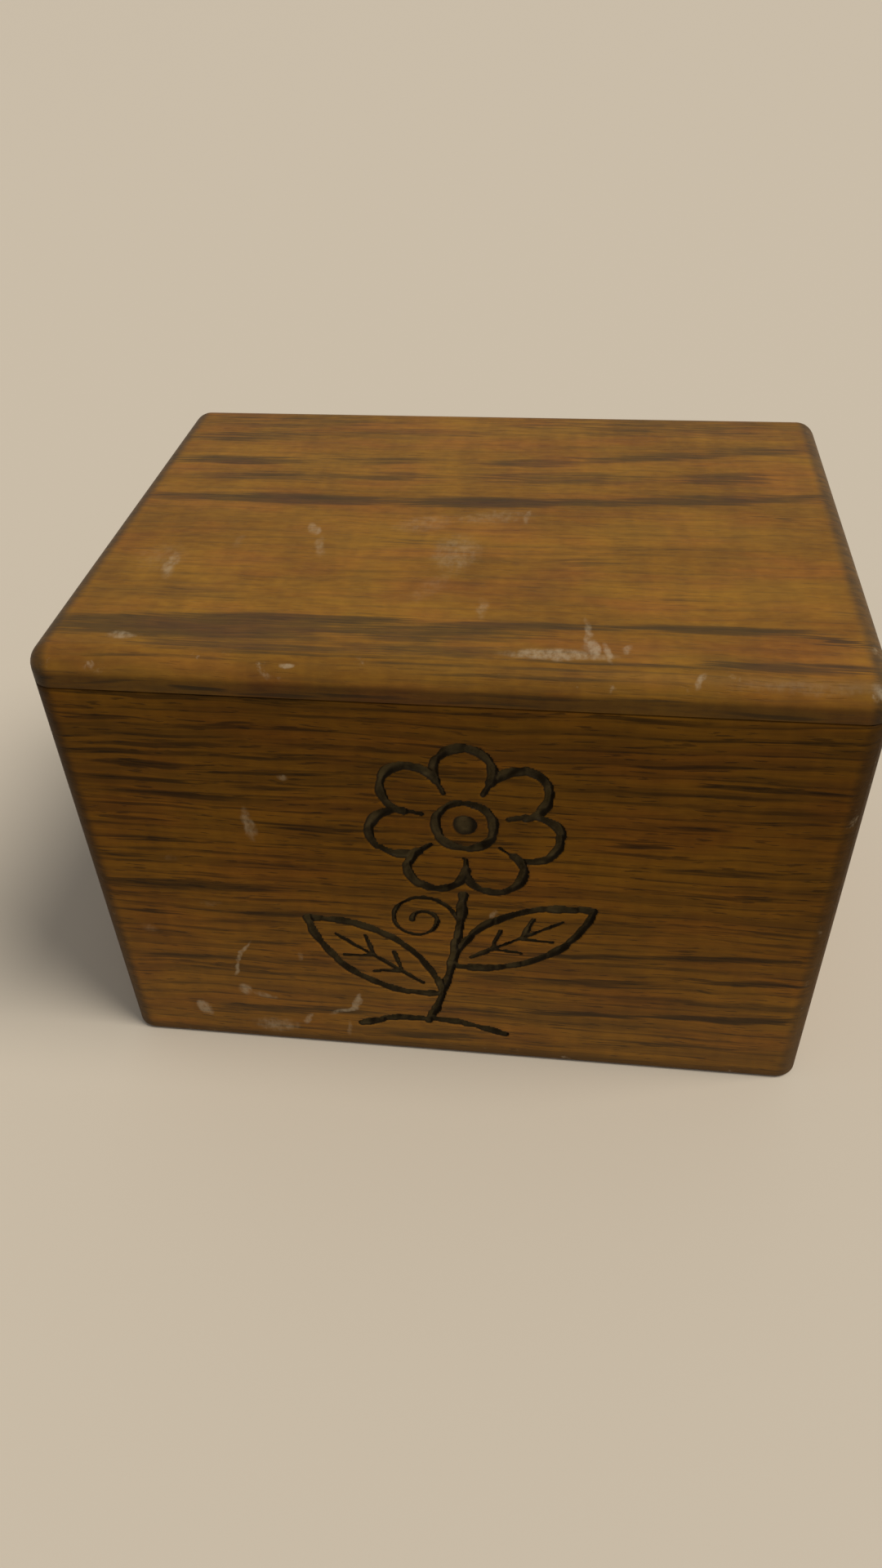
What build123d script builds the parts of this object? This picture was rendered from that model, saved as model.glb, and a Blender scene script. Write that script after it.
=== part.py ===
from build123d import *
from math import cos, hypot, radians, sin, tan
import os

# Keepsake box: four mitred walls round a let-in base board, under a board lid on two small brass butt hinges.
# Millimetres. The origin is the middle of the underside, +Z is up, and the carved front faces -Y.

# Overall size
box_width = 150.0
box_depth = 112.0
box_height = 104.0

# Boards
wall_thickness = 9.5
lid_thickness = 7.0
base_thickness = 6.0
base_let_in = 5.0  # how far the base reaches in under the walls
base_fit = 0.1  # play round the base's edge
seam_gap = 0.2  # between the walls' tops and the lid
edge_radius = 4.5  # the upright edges and the lid's top edges
largest_round = 0.8  # of a board's thickness
foot_radius = 1.2  # the outer edges of the underside

# Felt laid on the base
felt_thickness = 1.2
felt_margin = 0.4  # between the felt and the walls

# Butt hinges, let into the back wall's top and the lid's underside
hinge_length = 25.0
hinge_inset = 32.0  # from the box's side to the hinge's middle
axis_inset = 2.6  # from the box's back face to the hinge axis
barrel_radius = 1.9
knuckle_count = 5
knuckle_gap = 0.15  # between neighbouring knuckles
leaf_thickness = 1.0
leaf_lip = 1.1  # wood left between a leaf and the board's inner face
leaf_fit = 0.1  # play round a leaf in its recess
relief = 0.15  # between a leaf and the other leaf's knuckles
pocket_clearance = 0.3  # between the wood and the barrel
pin_radius = 0.75
pin_clearance = 0.05
pin_head_radius = 1.3
pin_head_length = 0.7

# The lid's and the walls' back edges are bevelled, and meet just past the open position as a stop
opening_angle = 100.0
stop_play = 1.0

# Countersunk screws, two in each leaf
screw_radius = 0.7
screw_head_radius = 1.4
screw_tip_length = 1.2
screw_tip_radius = 0.15
screw_cover = 1.8  # wood left over a screw's point in the lid
screw_end = 5.0  # from a leaf's end to the screw
screw_sink = 0.05  # how far a head lies below the leaf's face
screw_fit = 0.05
slot_width = 0.4
slot_depth = 0.35

# Carving: a flowering sprig, in grooves cut to one depth
carving_margin = 8.0  # above and below the motif
groove_depth = 1.0
groove_width = 2.0
fine_groove_width = 1.1
petal_count = 7

# How far a cutting shape runs past the surface that it cuts
spare = 2.0

# What follows from the sizes above
lid_bottom = box_height - lid_thickness
wall_top = lid_bottom - seam_gap
axis_y = box_depth / 2 - axis_inset
axis_z = (wall_top + lid_bottom) / 2
bevel_angle = (opening_angle + stop_play) / 2
leaf_reach = wall_thickness - axis_inset - leaf_lip
knuckle_length = (hinge_length - (knuckle_count - 1) * knuckle_gap) / knuckle_count
hinge_x = box_width / 2 - hinge_inset
screw_length = lid_thickness - screw_cover
screw_head_height = screw_head_radius - screw_radius
screw_y = axis_y - (barrel_radius + relief + leaf_reach) / 2
carving_unit = (wall_top - 2 * carving_margin) / 100


def block(low, high):
    """A rectangular block between two opposite corners."""
    size = [high[i] - low[i] for i in range(3)]
    centre = [(high[i] + low[i]) / 2 for i in range(3)]
    return Pos(*centre) * Box(*size)


def rod(radius, x_low, x_high):
    """A round bar on the hinge axis."""
    return Pos((x_low + x_high) / 2, axis_y, axis_z) * Rot(0, 90, 0) * Cylinder(radius, x_high - x_low)


def bevel(side):
    """What the stop bevel takes off the back edge: side is 1 for the lid's and -1 for the walls'."""
    run = axis_inset + spare
    profile = Polygon((0, 0), (run, 0), (run, side * run * tan(radians(bevel_angle))), align=None)
    section = Plane(origin=(-box_width / 2 - spare, axis_y, axis_z), x_dir=(0, 1, 0), z_dir=(1, 0, 0))
    return extrude(section * profile, amount=box_width + 2 * spare, dir=(1, 0, 0))


def screw():
    """A slotted screw that points down, with its head just below the origin."""
    head_low = -screw_sink - screw_head_height
    tip_top = -screw_length + screw_tip_length
    head = Pos(0, 0, head_low) * Cone(
        screw_radius, screw_head_radius, screw_head_height, align=(Align.CENTER, Align.CENTER, Align.MIN)
    )
    shank = Pos(0, 0, tip_top) * Cylinder(
        screw_radius, head_low - tip_top, align=(Align.CENTER, Align.CENTER, Align.MIN)
    )
    tip = Pos(0, 0, -screw_length) * Cone(
        screw_tip_radius, screw_radius, screw_tip_length, align=(Align.CENTER, Align.CENTER, Align.MIN)
    )
    slot = Pos(0, 0, -screw_sink) * Box(2 * screw_head_radius + spare, slot_width, 2 * slot_depth)
    return head + shank + tip - slot


def screw_hole():
    """The countersunk hole and the pilot hole for a screw."""
    head_low = -screw_sink - screw_head_height
    mouth = Pos(0, 0, -screw_sink) * Cylinder(
        screw_head_radius + screw_fit, screw_sink + spare, align=(Align.CENTER, Align.CENTER, Align.MIN)
    )
    countersink = Pos(0, 0, head_low) * Cone(
        screw_radius + screw_fit,
        screw_head_radius + screw_fit,
        screw_head_height,
        align=(Align.CENTER, Align.CENTER, Align.MIN),
    )
    pilot = Pos(0, 0, -screw_length - screw_fit) * Cylinder(
        screw_radius + screw_fit, screw_length, align=(Align.CENTER, Align.CENTER, Align.MIN)
    )
    return mouth + countersink + pilot


def at_screws(x, side, shape):
    """Copies of a shape at both screws of a leaf: side is 1 for the lid's leaf and -1 for the box's."""
    face_z = lid_bottom if side > 0 else wall_top
    turn = Rot(180, 0, 0) if side > 0 else Rot(0, 0, 0)
    reach = hinge_length / 2 - screw_end
    return [Pos(x + end * reach, screw_y, face_z) * turn * shape for end in (-1, 1)]


def knuckle(x, index, radius, grow=0.0):
    """One knuckle of a hinge, as a solid bar, longer by grow at both ends."""
    start = x - hinge_length / 2 + index * (knuckle_length + knuckle_gap)
    return rod(radius, start - grow, start + knuckle_length + grow)


def leaf_plate(x, side, play=0.0):
    """The flat of a leaf, or the recess for it with some play round it."""
    face_z = lid_bottom if side > 0 else wall_top
    back_z = face_z + side * leaf_thickness
    open_z = face_z - side * (spare if play else 0)
    low = (x - hinge_length / 2 - play, axis_y - leaf_reach - play, min(back_z, open_z))
    high = (x + hinge_length / 2 + play, axis_y, max(back_z, open_z))
    return block(low, high)


def hinge_leaf(x, side):
    """A leaf with its knuckles: the box's leaf has the first and last, the lid's has those between."""
    own = [i for i in range(knuckle_count) if i % 2 == (1 if side > 0 else 0)]
    others = [i for i in range(knuckle_count) if i not in own]
    leaf = leaf_plate(x, side)
    for index in others:
        leaf -= knuckle(x, index, barrel_radius + relief, knuckle_gap)
    for index in own:
        leaf += knuckle(x, index, barrel_radius)
    leaf -= rod(pin_radius + pin_clearance, x - hinge_length, x + hinge_length)
    for hole in at_screws(x, side, screw_hole()):
        leaf -= hole
    return leaf


def hinge_pin(x):
    """The hinge pin, with a low round head past each end of the barrel."""
    end = hinge_length / 2 + pin_clearance
    pin = rod(pin_radius, x - end, x + end)
    for low, high in ((x - end - pin_head_length, x - end), (x + end, x + end + pin_head_length)):
        pin += rod(pin_head_radius, low, high)
    return pin


def cut_hinge_seat(board, x, side):
    """A board with the recess for a leaf, the pocket for the barrel and the screws' pilot holes."""
    pocket_half = hinge_length / 2 + pin_clearance + pin_head_length + pocket_clearance
    board -= leaf_plate(x, side, leaf_fit)
    board -= rod(barrel_radius + pocket_clearance, x - pocket_half, x + pocket_half)
    for hole in at_screws(x, side, screw_hole()):
        board -= hole
    return board


def polar(centre, radius, degrees):
    """A point at a distance and an angle from a centre."""
    return (centre[0] + radius * cos(radians(degrees)), centre[1] + radius * sin(radians(degrees)))


def scaled(point):
    """A point of the motif, given in hundredths of its height, in millimetres."""
    return (point[0] * carving_unit, point[1] * carving_unit)


def arc_stroke(start, middle, end, width):
    """A groove along an arc, with round ends."""
    return SlotArc(ThreePointArc(scaled(start), scaled(middle), scaled(end)), width)


def line_stroke(start, end, width):
    """A straight groove, with round ends."""
    return SlotArc(Line(scaled(start), scaled(end)), width)


def flower(centre, ring, ray, valley, tip):
    """A round flower head: a middle with a ring round it, then short rays and a lobed edge of petals."""
    strokes = [
        Pos(*scaled(centre)) * Circle(ring * carving_unit / 2),
        Pos(*scaled(centre))
        * (Circle(ring * carving_unit + groove_width / 2) - Circle(ring * carving_unit - groove_width / 2)),
    ]
    step = 360 / petal_count
    for petal in range(petal_count):
        angle = 90 + petal * step
        strokes.append(
            arc_stroke(
                polar(centre, valley, angle - step / 2),
                polar(centre, tip, angle),
                polar(centre, valley, angle + step / 2),
                groove_width,
            )
        )
        side_angle = angle + step / 2
        strokes.append(
            line_stroke(polar(centre, ray, side_angle), polar(centre, valley, side_angle), fine_groove_width)
        )
    return strokes


def leaf(base, tip, half_width):
    """A pointed leaf: two curved edges, a midrib and two pairs of veins."""
    length = hypot(tip[0] - base[0], tip[1] - base[1])
    along = ((tip[0] - base[0]) / length, (tip[1] - base[1]) / length)
    across = (-along[1], along[0])

    def place(share, offset):
        run = share * length
        return (base[0] + along[0] * run + across[0] * offset, base[1] + along[1] * run + across[1] * offset)

    strokes = [arc_stroke(base, place(0.45, half_width * side), tip, groove_width) for side in (-1, 1)]
    strokes.append(line_stroke(place(0.15, 0), place(0.8, 0), fine_groove_width))
    for share in (0.3, 0.52):
        for side in (-1, 1):
            vein_end = place(share + 0.14, 0.55 * half_width * side)
            strokes.append(line_stroke(place(share, 0), vein_end, fine_groove_width))
    return strokes


def tendril(start, radii):
    """A curl of half circles, each smaller than the last, that starts upwards and to the left."""
    strokes = []
    left = -1
    for radius in radii:
        end = (start[0] + 2 * radius * left, start[1])
        middle = (start[0] + radius * left, start[1] - radius * left)
        strokes.append(arc_stroke(start, middle, end, fine_groove_width))
        start = end
        left = -left
    return strokes


def carving():
    """The motif on its own plane, with the origin in the middle of its foot."""
    stem_foot = (-7, 3)
    flower_centre = (4, 76)
    petal_tip = 23
    strokes = [arc_stroke(stem_foot, (-0.5, 26), (flower_centre[0] - 1, flower_centre[1] - petal_tip), groove_width)]
    strokes.append(arc_stroke((-26, 0), (-6, 4), (14, 0), groove_width))
    strokes += flower(flower_centre, 7, 10.5, 14.5, petal_tip)
    strokes += leaf((-3, 15), (-37, 41), 9)
    strokes += leaf((-0.5, 27), (35, 50), 8.5)
    strokes += tendril((1.5, 43), (8, 5.5, 3.2))
    return Sketch() + strokes


def carved_grooves():
    """The carving as a solid that cuts into the front wall."""
    floor = Plane(
        origin=(0, -box_depth / 2 + groove_depth, carving_margin), x_dir=(1, 0, 0), z_dir=(0, -1, 0)
    )
    return extrude(floor * carving(), amount=groove_depth + spare)


def wall_frame():
    """The four walls in one piece: rounded outside, hollow, with the base's rebate and the stop bevel."""
    frame = extrude(RectangleRounded(box_width, box_depth, edge_radius), amount=wall_top)
    frame = fillet(frame.faces().sort_by(Axis.Z)[0].edges(), foot_radius)
    inner_x = box_width / 2 - wall_thickness
    inner_y = box_depth / 2 - wall_thickness
    frame -= block((-inner_x, -inner_y, -spare), (inner_x, inner_y, wall_top + spare))
    rebate_x = inner_x + base_let_in
    rebate_y = inner_y + base_let_in
    frame -= block((-rebate_x, -rebate_y, -spare), (rebate_x, rebate_y, base_thickness))
    return frame - bevel(-1)


def mitre_zone(length, centre, turn):
    """The space that one wall takes up between its two mitres."""
    outer = length / 2 + spare
    inner = length / 2 - wall_thickness - spare
    plan = Polygon(
        (-outer, -spare),
        (outer, -spare),
        (inner, wall_thickness + spare),
        (-inner, wall_thickness + spare),
        align=None,
    )
    zone = extrude(plan, amount=wall_top + 2 * spare)
    return Pos(centre[0], centre[1], -spare) * Rot(0, 0, turn) * zone


def base_panel():
    """The base board, flush with the walls' underside."""
    half_x = box_width / 2 - wall_thickness + base_let_in - base_fit
    half_y = box_depth / 2 - wall_thickness + base_let_in - base_fit
    return block((-half_x, -half_y, 0), (half_x, half_y, base_thickness))


def felt_lining():
    """A flat sheet of felt on the base."""
    half_x = box_width / 2 - wall_thickness - felt_margin
    half_y = box_depth / 2 - wall_thickness - felt_margin
    return block((-half_x, -half_y, base_thickness), (half_x, half_y, base_thickness + felt_thickness))


def lid_board():
    """The lid, with rounded top edges and the hinges' seats."""
    board = extrude(RectangleRounded(box_width, box_depth, edge_radius), amount=lid_thickness)
    top_edges = board.faces().sort_by(Axis.Z)[-1].edges()
    board = fillet(top_edges, min(edge_radius, largest_round * lid_thickness))
    board = Pos(0, 0, lid_bottom) * board - bevel(1)
    for x in (-hinge_x, hinge_x):
        board = cut_hinge_seat(board, x, 1)
    return board


def build():
    """Every node's name and shape."""
    frame = wall_frame()
    nodes = {
        "front_wall": frame & mitre_zone(box_width, (0, -box_depth / 2), 0),
        "back_wall": frame & mitre_zone(box_width, (0, box_depth / 2), 180),
        "left_wall": frame & mitre_zone(box_depth, (-box_width / 2, 0), -90),
        "right_wall": frame & mitre_zone(box_depth, (box_width / 2, 0), 90),
        "base_panel": base_panel(),
        "felt_lining": felt_lining(),
        "lid_board": lid_board(),
    }
    nodes["front_wall"] -= carved_grooves()
    for name, x in (("left", -hinge_x), ("right", hinge_x)):
        nodes["back_wall"] = cut_hinge_seat(nodes["back_wall"], x, -1)
        nodes[name + "_hinge_box_leaf"] = hinge_leaf(x, -1)
        nodes[name + "_hinge_lid_leaf"] = hinge_leaf(x, 1)
        nodes[name + "_hinge_pin"] = hinge_pin(x)
    for name, side in (("box_hinge_screws", -1), ("lid_hinge_screws", 1)):
        screws = at_screws(-hinge_x, side, screw()) + at_screws(hinge_x, side, screw())
        nodes[name] = Compound(children=screws)
    return nodes


os.makedirs("parts", exist_ok=True)
for node, shape in build().items():
    export_step(shape, os.path.join("parts", node + ".step"))
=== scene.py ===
import bpy
import math
import numpy as np
from mathutils import Matrix, Vector, noise


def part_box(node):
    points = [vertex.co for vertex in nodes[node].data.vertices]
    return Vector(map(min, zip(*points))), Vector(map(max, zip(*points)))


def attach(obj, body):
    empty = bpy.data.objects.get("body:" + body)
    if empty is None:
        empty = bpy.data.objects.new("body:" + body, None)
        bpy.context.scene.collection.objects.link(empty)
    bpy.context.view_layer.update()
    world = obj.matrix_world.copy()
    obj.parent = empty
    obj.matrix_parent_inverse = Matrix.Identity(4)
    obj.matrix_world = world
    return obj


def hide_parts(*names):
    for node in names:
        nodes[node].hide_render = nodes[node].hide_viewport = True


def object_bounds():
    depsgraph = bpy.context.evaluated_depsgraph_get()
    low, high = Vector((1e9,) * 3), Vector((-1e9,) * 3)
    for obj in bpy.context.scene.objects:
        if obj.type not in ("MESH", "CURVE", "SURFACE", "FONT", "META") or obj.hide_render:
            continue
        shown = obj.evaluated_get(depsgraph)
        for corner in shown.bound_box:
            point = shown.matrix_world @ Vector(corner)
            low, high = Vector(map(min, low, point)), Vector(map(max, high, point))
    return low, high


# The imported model, and its box before anything is added
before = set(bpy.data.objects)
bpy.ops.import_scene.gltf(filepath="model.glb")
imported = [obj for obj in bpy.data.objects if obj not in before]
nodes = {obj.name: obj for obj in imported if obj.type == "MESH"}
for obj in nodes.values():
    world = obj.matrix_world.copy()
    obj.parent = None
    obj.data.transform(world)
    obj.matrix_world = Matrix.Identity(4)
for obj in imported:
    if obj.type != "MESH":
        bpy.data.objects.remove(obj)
cad_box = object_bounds()
mm = 0.001

# Sizes of the walls that their corner points don't tell
edge_radius = 4.5 * mm
foot_radius = 1.2 * mm
top_arris = 0.25 * mm
base_fit = 0.1 * mm

# The carved grooves, as in the solid: a motif drawn in hundredths of its height, in the middle of the front
carving_margin = 8.0 * mm
groove_depth = 1.0 * mm
groove_width = 2.0 * mm
fine_groove_width = 1.1 * mm
petal_count = 7

# What the fine grid of the front's face spans, its spacing, and the spacing elsewhere
carving_left = -33 * mm
carving_right = 32 * mm
carving_border = 2 * mm
fine_spacing = 0.3 * mm
coarse_spacing = 1.0 * mm

# How close to the face's plane a point has to be to lie on it, in metres
on_plane = 1e-7

# Where the groove stain may be, in millimetres: from the middle, and behind the face
stain_reach = 40.0
stain_depth = 1.6

# How the grooves are cut by hand: in short cuts with narrow ends, each a little out of line with the last
stroke_step = 0.3 * mm
cut_length = 6.0 * mm
cut_shift = 0.3 * mm
cut_taper = 0.22
cut_lean = 0.5
width_change = 0.2
depth_change = 0.25
edge_chatter = 0.22 * mm

# How far apart the changes of width, depth and edge are, and which way a cut leans: right and a little up
width_wave = 4 * mm
depth_wave = 3 * mm
chatter_wave = 2 * mm
lean_x, lean_z = 0.94, 0.34

# A groove's shape across, lower for a flatter bottom, and how far its edge can wander, in half-widths
groove_profile = 0.6
groove_reach = 1.6

# The felt: its grid, the width, height and rise of its soft edge in thicknesses, and its unevenness
felt_columns, felt_rows = 84, 60
felt_edge = 0.8
felt_edge_height = 0.55
felt_rise = 0.4
felt_unevenness = 0.06 * mm
felt_wave = 9 * mm

# How far from a board's ends the painted shade on its rounded upright edges starts, and where it is
# darkest, in millimetres
end_shade_start = 5.0
end_shade_full = 3.0


class Graph:
    """Short ways to add and link the nodes of one material."""

    def __init__(self, name):
        self.material = bpy.data.materials.new(name)
        self.material.use_nodes = True
        self.tree = self.material.node_tree
        self.shader = self.tree.nodes["Principled BSDF"]

    def put(self, socket, value):
        """Links an output to a socket, or sets the socket to a constant."""
        if isinstance(value, bpy.types.NodeSocket):
            self.tree.links.new(value, socket)
        elif isinstance(value, tuple) and len(value) == 3 and socket.type == "RGBA":
            socket.default_value = (*value, 1.0)
        else:
            socket.default_value = value

    def math(self, operation, a, b=0.0):
        node = self.tree.nodes.new("ShaderNodeMath")
        node.operation = operation
        self.put(node.inputs[0], a)
        self.put(node.inputs[1], b)
        return node.outputs[0]

    def add(self, a, b):
        return self.math("ADD", a, b)

    def times(self, a, b):
        return self.math("MULTIPLY", a, b)

    def steps(self, value, low, high, to_low=0.0, to_high=1.0):
        """A smooth step from one value to another between two levels."""
        node = self.tree.nodes.new("ShaderNodeMapRange")
        node.interpolation_type = "SMOOTHSTEP"
        for socket, number in zip(node.inputs, (value, low, high, to_low, to_high)):
            self.put(socket, number)
        return node.outputs[0]

    def vector(self, x, y, z):
        node = self.tree.nodes.new("ShaderNodeCombineXYZ")
        for socket, number in zip(node.inputs, (x, y, z)):
            self.put(socket, number)
        return node.outputs[0]

    def noise(self, vector, scale=1.0, detail=2.0, roughness=0.5):
        """Soft random values round 0.5."""
        node = self.tree.nodes.new("ShaderNodeTexNoise")
        self.put(node.inputs["Vector"], vector)
        node.inputs["Scale"].default_value = scale
        node.inputs["Detail"].default_value = detail
        node.inputs["Roughness"].default_value = roughness
        return node.outputs["Fac"]

    def stretched(self, values, scales, detail=2.0, roughness=0.5):
        """Soft random values, drawn out by a scale for each of three values."""
        scaled = [self.times(value, scale) for value, scale in zip(values, scales)]
        return self.noise(self.vector(*scaled), detail=detail, roughness=roughness)

    def mix(self, share, a, b, blend="MIX"):
        """A colour between a and b."""
        node = self.tree.nodes.new("ShaderNodeMix")
        node.data_type = "RGBA"
        node.blend_type = blend
        self.put(node.inputs[0], share)
        self.put(node.inputs[6], a)
        self.put(node.inputs[7], b)
        return node.outputs[2]

    def streaks(self, value, streaks, low, high, streaks_per_ramp=10):
        """Follows a list of (place, half-width, strength): 0 between the streaks, and their strength in the
        middle of each."""
        where = self.math("DIVIDE", self.math("SUBTRACT", value, low), high - low)
        level = 0.0
        for first in range(0, len(streaks), streaks_per_ramp):
            stops = [(0.0, 0.0)]
            for place, half_width, strength in streaks[first : first + streaks_per_ramp]:
                for offset, height in ((-half_width, 0.0), (0.0, strength), (half_width, 0.0)):
                    stops.append(((place + offset - low) / (high - low), height))
            node = self.tree.nodes.new("ShaderNodeValToRGB")
            node.color_ramp.interpolation = "EASE"
            elements = node.color_ramp.elements
            while len(elements) < len(stops):
                elements.new(0.5)
            for element, (place, height) in zip(elements, stops):
                element.position = place
                element.color = (height, height, height, 1.0)
            self.put(node.inputs[0], where)
            level = self.math("MAXIMUM", node.outputs[0], level)
        return level

    def marks(self, place, ovals):
        """Follows a list of (x, y, half-length, half-width, degrees, strength): soft ovals on a plane."""
        level = 0.0
        for x, y, half_length, half_width, degrees, strength in ovals:
            own = self.tree.nodes.new("ShaderNodeMapping")
            own.vector_type = "TEXTURE"
            own.inputs["Location"].default_value = (x, y, 0)
            own.inputs["Rotation"].default_value = (0, 0, math.radians(degrees))
            own.inputs["Scale"].default_value = (half_length, half_width, 1)
            self.put(own.inputs["Vector"], place)
            squares = self.tree.nodes.new("ShaderNodeVectorMath")
            squares.operation = "DOT_PRODUCT"
            for socket in (squares.inputs[0], squares.inputs[1]):
                self.put(socket, own.outputs[0])
            oval = self.steps(squares.outputs["Value"], 0.0, 1.4, strength, 0.0)
            level = self.math("MAXIMUM", oval, level)
        return level

    def bump(self, height, distance):
        node = self.tree.nodes.new("ShaderNodeBump")
        node.inputs["Distance"].default_value = distance
        self.put(node.inputs["Height"], height)
        return node.outputs[0]

    def place(self):
        """X, Y and Z on the piece, in millimetres."""
        coordinates = self.tree.nodes.new("ShaderNodeTexCoord")
        scale = self.tree.nodes.new("ShaderNodeVectorMath")
        scale.operation = "SCALE"
        scale.inputs["Scale"].default_value = 1 / mm
        self.put(scale.inputs[0], coordinates.outputs["Object"])
        split = self.tree.nodes.new("ShaderNodeSeparateXYZ")
        self.put(split.inputs[0], scale.outputs[0])
        return list(split.outputs)

    def facing(self):
        """X, Y and Z of the way that the surface faces, on the piece."""
        coordinates = self.tree.nodes.new("ShaderNodeTexCoord")
        split = self.tree.nodes.new("ShaderNodeSeparateXYZ")
        self.put(split.inputs[0], coordinates.outputs["Normal"])
        return list(split.outputs)

    def finish(self, color, roughness, normal=None, specular=0.5, metallic=0.0):
        """Sets the shader's colour and surface, and gives the material."""
        self.put(self.shader.inputs["Base Color"], color)
        self.put(self.shader.inputs["Roughness"], roughness)
        self.shader.inputs["Specular IOR Level"].default_value = specular
        self.shader.inputs["Metallic"].default_value = metallic
        if normal is not None:
            self.put(self.shader.inputs["Normal"], normal)
        return self.material


# Colours, linear: each wood's brown, gold, brown streaks and black streaks
lid_hues = ((0.194, 0.077, 0.009), (0.310, 0.139, 0.015), (0.064, 0.037, 0.013), (0.030, 0.021, 0.012))
wall_hues = ((0.185, 0.068, 0.004), (0.300, 0.125, 0.008), (0.056, 0.025, 0.004), (0.022, 0.011, 0.003))
rust_tint = (1.05, 0.84, 1.15)
straw_tint = (0.985, 1.05, 0.88)
base_brown, base_pale, base_fibre = (0.24, 0.13, 0.055), (0.36, 0.22, 0.11), (0.13, 0.065, 0.03)
brass_bright, brass_dull = (0.62, 0.42, 0.17), (0.22, 0.13, 0.05)
felt_dark, felt_green, felt_pale = (0.011, 0.034, 0.013), (0.030, 0.075, 0.030), (0.040, 0.085, 0.042)
floor_pale = (0.60, 0.52, 0.41)
pale_wear_and_light = (0.470, 0.370, 0.235)
groove_stain = (0.014, 0.009, 0.004)
groove_pale_and_lit = (0.075, 0.052, 0.020)
black = (0.0, 0.0, 0.0)

# Dark bands in the grain, on the lid and on the front, and pale wear on both, with a painted highlight
# and sheen on the lid's front rim: soft ovals, each as (x, y or z, half-length, half-width, degrees,
# strength), in millimetres
lid_bands = [
    (-58.0, 6.0, 20.0, 2.4, 0, 0.80),
    (-38.0, 6.6, 25.0, 3.1, 1, 0.95),
    (2.0, 6.6, 23.0, 3.2, 1, 0.95),
    (24.0, 7.8, 17.0, 2.6, 3, 0.80),
    (46.0, 10.1, 19.0, 3.2, 4, 0.85),
    (66.0, 12.8, 12.0, 2.2, 10, 0.70),
    (-57.0, 25.4, 20.0, 3.0, -1, 0.85),
    (-22.0, 27.0, 25.0, 2.8, 1, 0.52),
    (10.0, 27.2, 15.0, 3.2, 2, 0.62),
    (36.0, 31.0, 20.0, 3.4, 8, 0.68),
    (60.0, 35.2, 18.0, 3.4, 5, 0.68),
    (-48.0, 17.0, 27.0, 2.8, 2, 0.66),
    (-20.0, 18.4, 15.0, 2.6, 2, 0.62),
    (16.0, 19.4, 29.0, 4.0, 1, 0.60),
    (51.0, 21.0, 14.0, 3.8, 3, 0.70),
    (-56.0, 38.5, 22.0, 4.0, 4, 0.62),
    (-18.0, 42.0, 30.0, 3.2, 4, 0.52),
    (36.0, 48.0, 48.0, 8.0, 0, 0.52),
    (-50.0, 48.4, 36.0, 7.0, 0, 0.48),
    (-26.0, -40.8, 27.0, 1.8, 0, 1.00),
    (12.0, -41.0, 21.0, 1.5, 1, 0.90),
    (46.0, -39.8, 23.0, 1.8, 0, 0.95),
    (66.0, -41.4, 9.0, 1.4, -16, 0.85),
    (-46.0, -44.8, 38.0, 5.2, 1, 0.90),
    (-6.0, -44.2, 28.0, 4.4, 0, 0.74),
    (-34.0, -50.8, 24.0, 2.2, 0, 0.72),
    (-2.0, -50.0, 26.0, 2.4, 0, 0.62),
    (59.0, -50.2, 17.0, 1.7, 2, 0.90),
    (-10.0, -11.5, 8.0, 3.0, 0, 0.42),
    (34.0, -12.0, 10.0, 2.4, 0, 0.45),
    (24.0, -17.0, 12.0, 2.4, 5, 0.42),
    (62.0, 3.6, 2.4, 2.4, 0, 0.60),
    (40.0, -30.0, 7.0, 3.6, 0, 0.38),
    (-54.0, -33.0, 16.0, 3.4, 0, 0.40),
    (-48.0, -54.6, 20.0, 0.6, 0, 0.70),
    (20.0, -56.0, 26.0, 0.6, 0, 0.60),
    (-58.0, -60.4, 7.0, 0.5, 0, 0.75),
    (-42.0, -60.8, 6.0, 0.5, 0, 0.80),
    (-16.0, -60.6, 12.0, 0.5, 0, 0.60),
    (14.0, -59.8, 15.0, 0.5, 0, 0.55),
    (54.0, -60.6, 14.0, 0.5, 0, 0.60),
    (34.0, -59.4, 9.0, 0.4, 0, 0.60),
    (-69.0, -59.6, 5.0, 0.4, 0, 0.70),
    (-28.0, -61.2, 8.0, 0.4, 0, 0.70),
    (4.0, -61.2, 10.0, 0.4, 0, 0.60),
    (-26.0, -52.6, 34.0, 0.6, 0, 0.70),
    (30.0, -52.0, 34.0, 0.6, 0, 0.65),
    (10.0, -54.0, 40.0, 0.5, 0, 0.60),
]
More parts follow.
